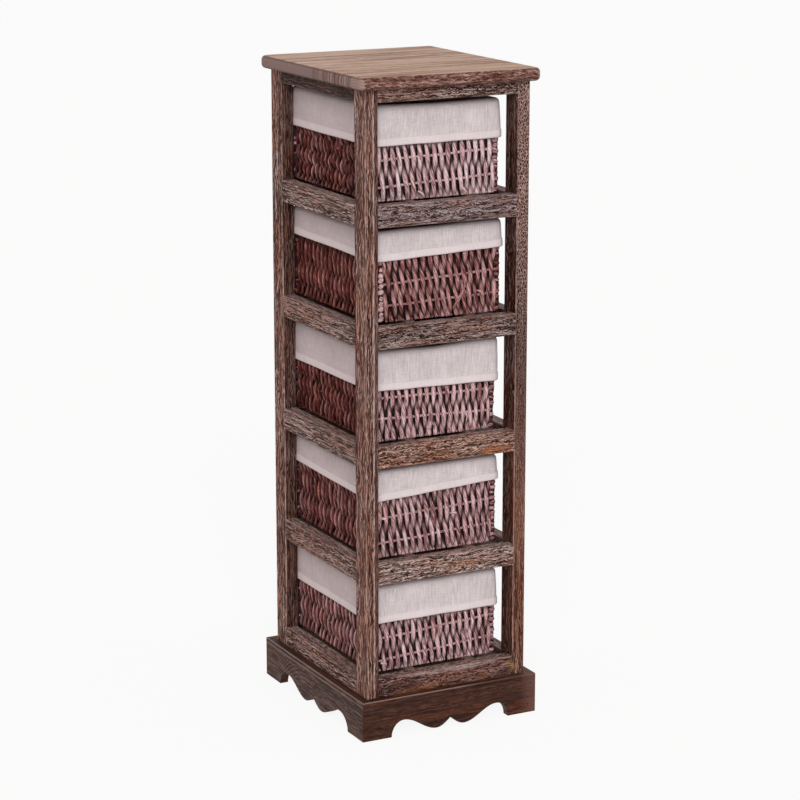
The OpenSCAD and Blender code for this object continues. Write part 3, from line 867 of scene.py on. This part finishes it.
def corners(out, k, rng):
    """Each corner is a post wound with short irregular wraps, one above the other."""
    red = np.clip(0.7 * STYLE[k]["red"][0] + 0.3 * STYLE[k]["red"][1], 0, 1)
    for sx, sy in ((-1, -1), (-1, 1), (1, -1), (1, 1)):
        middle = math.atan2(sy, sx)
        x0, y0 = (BASKET_X - BASKET_R) * sx, (BASKET_Y - BASKET_R) * sy
        # The rear left corner is fuller, and the fourth basket's front left one wide and pale
        full = sx < 0 < sy
        wide = k == 4 and sx < 0 and sy < 0
        z = np.linspace(1.0 * MM, WALL_H + 1 * MM, 16)
        r = BASKET_R - 5.6 * MM
        path = points_at(x0 + r * math.cos(middle), y0 + r * math.sin(middle), z)
        core = (7.1 if full else 4.2) * MM
        strand(out, path, X_DIR, Y_DIR, core, core, 150, 0.25, 0.0, red, seed=rng.uniform(0, 90))
        h = 4.6 * MM
        while h < WALL_H - 3 * MM:
            t = np.linspace(-1, 1, 15)
            angle = middle + t * math.radians(76 + rng.normal(0, 6))
            bulge = 1 - np.abs(t) ** 2.6
            inset = (2.6 if full else 4.0) * MM + 3.2 * MM * (1 - bulge)
            reach = BASKET_R - inset + rng.normal(0, 0.4) * MM
            z = h + rng.normal(1.0, 1.0) * MM * t
            path = points_at(x0 + reach * np.cos(angle), y0 + reach * np.sin(angle), z)
            if wide:
                path[:, 0] += 2.6 * MM * (1 + t)
            out_dir = points_at(np.cos(angle), np.sin(angle), 0.0)
            size = rng.uniform(0.86, 1.08) * MM
            strand(
                out, path, UP, out_dir, size * (1.8 + 2.3 * bulge), size * (1.6 + 1.7 * bulge),
                twist=260, front=0.20 + 0.75 * bulge,
                tone=rng.uniform(-0.3, 0.6) + (0.7 if wide else 0.0),
                red=np.clip(red * (0.3 if wide else 1.0) + rng.normal(0, 0.1), 0, 1),
                lobe=0.10, seed=rng.uniform(0, 90),
            )
            h += rng.uniform(6.8, 9.4) * MM


def floor_weave(out, k, rng):
    """The woven bottom: flat strands that pass over and under each other."""
    half_x, half_y = BASKET_X - WICKER_T, BASKET_Y - WICKER_T
    gap_x, gap_y = 15.5 * MM, 8.6 * MM
    nx, ny = int(2 * half_x / gap_x), int(2 * half_y / gap_y)
    mid = FLOOR_T / 2 + 0.2 * MM
    red = STYLE[k]["red"][1]

    def flat(path, side, half_w, half_t, front):
        tone = rng.uniform(0, 1)
        seed = rng.uniform(0, 90)
        strand(out, path, side, UP, half_w * MM, half_t * MM, 120, front, tone, red, 6, 0.06, seed)

    for i in range(ny):
        x = np.linspace(-half_x, half_x, 3 * nx)
        z = mid + 1.35 * MM * np.cos(x / gap_x * math.pi + i * math.pi)
        flat(points_at(x, (i - (ny - 1) / 2) * gap_y, z), Y_DIR, 3.9, 1.3, 0.7)
    for i in range(nx):
        y = np.linspace(-half_y, half_y, 12)
        flat(points_at((i - (nx - 1) / 2) * gap_x, y, mid), X_DIR, 2.6, 1.0, 0.5)


CORNER_STEPS = 8


def round_rect(half_x, half_y, r, per_mm):
    """Points round a rectangle with round corners, and their outward directions."""
    points, normals = [], []

    def on_corner(c, a):
        sx, sy = ((1, -1), (1, 1), (-1, 1), (-1, -1))[c % 4]
        return sx * (half_x - r) + r * math.cos(a), sy * (half_y - r) + r * math.sin(a)

    for c in range(4):
        start = -math.pi / 2 + c * math.pi / 2
        for j in range(CORNER_STEPS + 1):
            a = start + j / CORNER_STEPS * math.pi / 2
            points.append(on_corner(c, a))
            normals.append((math.cos(a), math.sin(a)))
        p, q = np.array(points[-1]), np.array(on_corner(c + 1, a))
        steps = max(2, int(np.linalg.norm(q - p) / MM * per_mm))
        for j in range(1, steps):
            points.append(tuple(p + (q - p) * j / steps))
            normals.append((math.cos(a), math.sin(a)))
    return np.array(points), np.array(normals)


def border(k):
    """A two-strand rope that runs round the top of the wall, under the cloth."""
    out = Mesh()
    rng = np.random.default_rng(700 + k)
    r = BASKET_R - BORDER_R
    base, normals = round_rect(BASKET_X - BORDER_R, BASKET_Y - BORDER_R, r, 0.3)
    m = len(base)
    sunk = np.clip(rim_drop(k, *base.T), 0, None)
    ring = points_at(*base.T, BASKET_H - BORDER_R - 0.3 * MM - sunk)
    length = lengths(ring)
    total = length[-1] + np.linalg.norm(ring[0] - ring[-1])
    sides = 10
    theta = np.arange(sides) * 2 * math.pi / sides
    turns = round(total / (22 * MM))
    phi = theta[None] - (length / total * 2 * math.pi * turns)[:, None]
    r = (BORDER_R - 0.3 * MM) * (0.87 + 0.13 * np.cos(2 * phi))
    outward = points_at(*normals.T, 0.0)
    points = ring[:, None] + (r * np.cos(theta))[..., None] * outward[:, None]
    points += (r * np.sin(theta))[..., None] * UP
    faces = ring_faces(m, sides, closed=True, flip=True)
    red = STYLE[k]["red"][1]
    out.add(points, faces, fibre=fibre_places(phi, length), flank=0.0, tone=0.5, red=red, front=0.9)
    # The rush that binds the border to the wall
    z = np.linspace(WALL_H + 0.8 * MM, BASKET_H - 7.2 * MM, 5)
    for (x0, y0), (nx, ny) in zip(base[::4], normals[::4]):
        strand(
            out, points_at(x0, y0, z), (-ny, nx, 0.0), (nx, ny, 0.0), 2.4 * MM, 3.2 * MM,
            150, 0.6, rng.uniform(0, 1), 0.5, 6, 0.06, rng.uniform(0, 90),
        )
    return out


# ---- liners ----

BAG_IN = WICKER_T + 1.1 * MM
CLOTH_T = 1.1 * MM
HOOD_R = 6.4 * MM
HEM_H = 10 * MM
# Height of the hem over the basket's bottom: at the middle of the front, and its change from
# the left to the right edge, in mm
HEM = {5: (80.5, 1.0), 4: (93.0, 7.0), 3: (74.5, -4.5), 2: (92.0, 11.0), 1: (76.5, 0.0)}
# How far the rim stands over the liner's own height at its left, middle and right, in mm
RISE = {5: (5.2, 2.6, 4.4), 4: (0.5, 2.0, 4.2), 3: (2.6, 2.0, 4.6), 2: (0, 0.5, 1), 1: (0, 0, 0.5)}


def hem_height(k, x, y):
    base, tilt = HEM[k]
    wobble = 0.25 * np.sin(9 * x / BASKET_X + k) + 0.3 * np.sin(5 * y / BASKET_Y + 2 * k)
    return (base + tilt * x / (2 * BASKET_X) * (0.6 - 0.4 * y / BASKET_Y) + wobble) * MM


def rim_drop(k, x, y):
    """How far the rim sags below its full height."""
    drop = 0.5 + 0.5 * np.sin(7 * x / BASKET_X + 1.3 * k) * np.sin(5 * y / BASKET_Y + k)
    drop = drop - np.interp(x / BASKET_X, (-1, 0, 1), RISE[k])
    if k == 3:
        front = np.clip(-y / BASKET_Y, 0, 1)
        drop = drop + front * 2.2 * np.exp(-((x / BASKET_X + 0.15) / 0.4) ** 2)
    return drop * MM


def liner(k):
    out = Mesh()
    rng = np.random.default_rng(900 + k)
    base, normals = round_rect(BASKET_X, BASKET_Y, BASKET_R, 0.22)
    m = len(base)
    px, py = base.T
    hem_z = hem_height(k, px, py)
    drop = rim_drop(k, px, py)
    angle = np.arctan2(py / BASKET_Y, px / BASKET_X)
    ripple = sum(
        rng.uniform(0.10, 0.22) * np.sin(f * angle + rng.uniform(0, 6.28)) for f in (9, 14, 21, 27)
    )
    corner = np.exp(-((np.abs(px) - BASKET_X) ** 2 + (np.abs(py) - BASKET_Y) ** 2) / (14 * MM) ** 2)
    corner = corner * (px > 0)
    # The left side slides past the posts, so the cloth stays flat there
    tight = 1 - 0.9 * np.clip(-px / BASKET_X, 0, 1) ** 4
    rows = []

    def row(offset, z):
        p = base + normals * np.broadcast_to(offset, (m,))[:, None]
        rows.append(points_at(*p.T, z))

    floor_z = FLOOR_T + 0.9 * MM
    p = base - normals * (BAG_IN + 3 * MM)
    for s in (0.04, 0.25, 0.5, 0.75, 0.93):
        sag = 0.4 * MM * np.sin(p[:, 0] * s * 60 + k) * np.sin(p[:, 1] * s * 45)
        rows.append(points_at(*(p * s).T, floor_z + 0.5 * MM + sag))
    row(-BAG_IN - 1.2 * MM, floor_z + 0.5 * MM)
    row(-BAG_IN - 0.2 * MM, floor_z + 2.0 * MM)
    centre_z = LINER_TOP - HOOD_R - CLOTH_T / 2 - drop
    for s in np.linspace(0.12, 0.9, 8):
        bulge = 0.9 * MM * math.sin(math.pi * s) * (1 + ripple) + 0.5 * MM * ripple
        row(-BAG_IN - np.clip(bulge, 0, None), floor_z + 2 * MM + s * (centre_z - floor_z - 2 * MM))
    for a in np.linspace(170, 10, 11):
        a = math.radians(a)
        inward = 1.0 if a < math.pi / 2 else (BAG_IN - BORDER_R) / HOOD_R
        row(-BORDER_R + HOOD_R * math.cos(a) * inward, centre_z + HOOD_R * math.sin(a))
    hood_out = HOOD_R - BORDER_R
    top_of_hem = hem_z + HEM_H
    for s in np.linspace(0.08, 0.93, 7):
        z = centre_z + s * (top_of_hem - centre_z)
        row(hood_out + (0.45 * ripple * s * tight + 0.25 * s) * MM, z)
    flare = (0.5 * ripple * tight + 0.5 * corner) * MM
    # The hem: how far out, the share of the flare, and the height
    hem = (
        (0.30, 0.8, top_of_hem + 0.5 * MM),
        (0.75, 1.0, top_of_hem),
        (0.90, 1.0, top_of_hem - 1.2 * MM),
        (0.90, 1.0, top_of_hem - 0.35 * HEM_H),
        (0.90, 1.0, top_of_hem - 0.7 * HEM_H),
        (0.90, 1.0, top_of_hem - 0.92 * HEM_H),
        (0.45, 1.0, hem_z),
        (-0.20, 1.0, hem_z + 0.7 * MM),
        (-0.30, 0.8, hem_z + 5 * MM),
        (-0.30, 0.6, top_of_hem - 1 * MM),
    )
    for proud, share, z in hem:
        row(hood_out + proud * MM + flare * share, z)
    n = len(rows)
    top_row = n - len(hem) + 1
    faces = [tuple(range(m))[::-1]] + ring_faces(n, m, flip=True)
    out.add(np.concatenate(rows), faces, hem=np.repeat(np.arange(n) >= top_row, m))
    # Stitches, one thread width proud of the hem's upper edge
    stitches = Mesh()
    ring = rows[top_row]
    closed = np.concatenate([ring, ring[:1]])
    closed_normals = np.concatenate([normals, normals[:1]])
    at = lengths(closed)
    count = int(at[-1] / (4.4 * MM))
    dip = np.array([-0.1, 0.18, 0.18, -0.1]) * MM
    for i in range(count):
        u = (np.linspace(0.1, 0.72, 4) + i) * at[-1] / count
        path = points_at(*(np.interp(u, at, c) for c in closed.T))
        out_dir = points_at(*(np.interp(u, at, c) for c in closed_normals.T), 0.0)
        path = path + out_dir * (CLOTH_T / 2 + dip)[:, None]
        strand(stitches, path, UP, out_dir, 0.34 * MM, 0.26 * MM, 0.0, 1.0, 0.5, 0.0, 5, 0.0)
    return out, stitches


def warp_of(k):
    """Moves a basket to its place, a little out of true, as a woven one is."""
    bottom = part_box(f"basket_{k}_weave")[0].z

    def warp(p):
        p = p.copy()
        h = np.clip(p[:, 2] / LINER_TOP, 0, 1)
        x, y = p[:, 0] / BASKET_X, p[:, 1] / BASKET_Y
        bow = -0.6 * MM * np.sin(math.pi * h) * abs(math.sin(k * 2.1))
        p[:, 0] += bow * x * np.clip(1 - y * y, 0, 1) + MID_X
        if k == 4:
            # Its front stands further to the right
            p[:, 0] += 4.1 * MM * np.clip(0.5 - 0.5 * y, 0, 1)
        # The right side draws in at the top, and the rear end reaches further back
        p[:, 0] -= 2.6 * MM * np.clip(x, 0, 1) * np.clip((h - 0.66) / 0.34, 0, 1) ** 1.5
        p[:, 1] += MID_Y + 0.6 * MM + 5.5 * MM * np.clip(y, 0, 1)
        if k == 3:
            # Its right side leans in towards the bottom
            p[:, 0] += 5.0 * MM * np.clip(x, 0, 1) * (h - 1.0) * np.clip(0.6 - 0.5 * y, 0, 1)
        p[:, 2] += bottom
        return p

    return warp


for k in sorted(STYLE):
    rng = np.random.default_rng(100 + k)
    out = Mesh()
    for wall in WALLS:
        wall_strands(out, k, wall, rng)
        wall_rods(out, k, wall, rng)
    corners(out, k, rng)
    loose_strands(out, k, rng)
    floor_weave(out, k, rng)
    backing(out)
    warp = warp_of(k)
    bag, seam = liner(k)
    weave = out.make(f"basket_{k}_wicker", WICKER, warp)
    rim = border(k).make(f"basket_{k}_rope", WICKER, warp)
    sheet = bag.make(f"basket_{k}_cloth", CLOTH, warp)
    thickness = sheet.modifiers.new("thickness", "SOLIDIFY")
    thickness.thickness, thickness.offset = CLOTH_T, 0.0
    for piece, node, slot in (
        (weave, "weave", "wicker"),
        (rim, "border", "wicker_border"),
        (sheet, "liner", "liner_cloth"),
    ):
        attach(piece, f"basket_{k}")
        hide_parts(f"basket_{k}_{node}")
    stitches = seam.make(f"basket_{k}_stitches", THREAD, warp)
    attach(stitches, f"basket_{k}")

# ---- floor, lights, camera ----


def open_rays(nodes, links):
    """1 for rays from the camera, a reflection or a transmission, else 0."""
    rays = nodes.new("ShaderNodeLightPath").outputs
    value = rays["Is Camera Ray"]
    for name in ("Is Glossy Ray", "Is Transmission Ray"):
        larger = nodes.new("ShaderNodeMath")
        larger.operation = "MAXIMUM"
        links.new(value, larger.inputs[0])
        links.new(rays[name], larger.inputs[1])
        value = larger.outputs[0]
    return value


def floor_material():
    """Pale floor that looks white to the camera but still takes the shadow."""
    t = Tree("floor_white", Base_Color=(0.9, 0.9, 0.9, 1), Roughness=0.9, Specular_IOR_Level=0.0)
    open_share = t.mul(open_rays(t.nodes, t.links), 0.90)
    mix = t.new("MixShader", open_share, t.bsdf.outputs[0], t.new("Emission").outputs[0])
    t.links.new(mix.outputs[0], t.out.inputs["Surface"])
    return t.mat


FLOOR_HALF = 30.0
floor_mesh = bpy.data.meshes.new("studio_floor")
floor_mesh.from_pydata(
    [(sx * FLOOR_HALF, sy * FLOOR_HALF, -0.0002) for sx, sy in ((-1, -1), (1, -1), (1, 1), (-1, 1))],
    [],
    [(0, 1, 2, 3)],
)
floor_mesh.materials.append(floor_material())
floor = new_object("studio_floor", floor_mesh)

world = bpy.data.worlds.new("studio")
bpy.context.scene.world = world
world.use_nodes = True
w_nodes, w_links = world.node_tree.nodes, world.node_tree.links
w_nodes.clear()
w_out, w_mix = w_nodes.new("ShaderNodeOutputWorld"), w_nodes.new("ShaderNodeMixShader")
w_links.new(open_rays(w_nodes, w_links), w_mix.inputs[0])
# What lights the object, and the white that open rays see
for i, (colour, strength) in enumerate([((1.0, 0.925, 0.91, 1), 0.42), ((1, 1, 1, 1), 1.0)]):
    background = w_nodes.new("ShaderNodeBackground")
    background.inputs["Color"].default_value = colour
    background.inputs["Strength"].default_value = strength
    w_links.new(background.outputs[0], w_mix.inputs[1 + i])
w_links.new(w_mix.outputs[0], w_out.inputs["Surface"])


def sun(name, towards, strength, angle):
    """A soft distant lamp that shines along towards."""
    data = bpy.data.lights.new(name, "SUN")
    data.energy, data.angle = strength, math.radians(angle)
    rotation = Vector(towards).to_track_quat("-Z", "Y").to_euler()
    new_object(name, data).rotation_euler = rotation


sun("key", (0.40, 0.82, -0.50), 1.75, 30)
sun("fill", (-0.55, 0.70, -0.45), 0.20, 60)

camera_data = bpy.data.cameras.new("camera")
camera_data.lens = 118.6
camera_data.clip_end = 100.0
camera = new_object("camera", camera_data)
camera.location = (-1.7640, -3.4108, 1.3984)
camera.rotation_euler = Euler((math.radians(90 - 13.696), 0.0, math.radians(-27.39)))
bpy.context.scene.camera = camera
bpy.context.scene.view_settings.view_transform = "Standard"
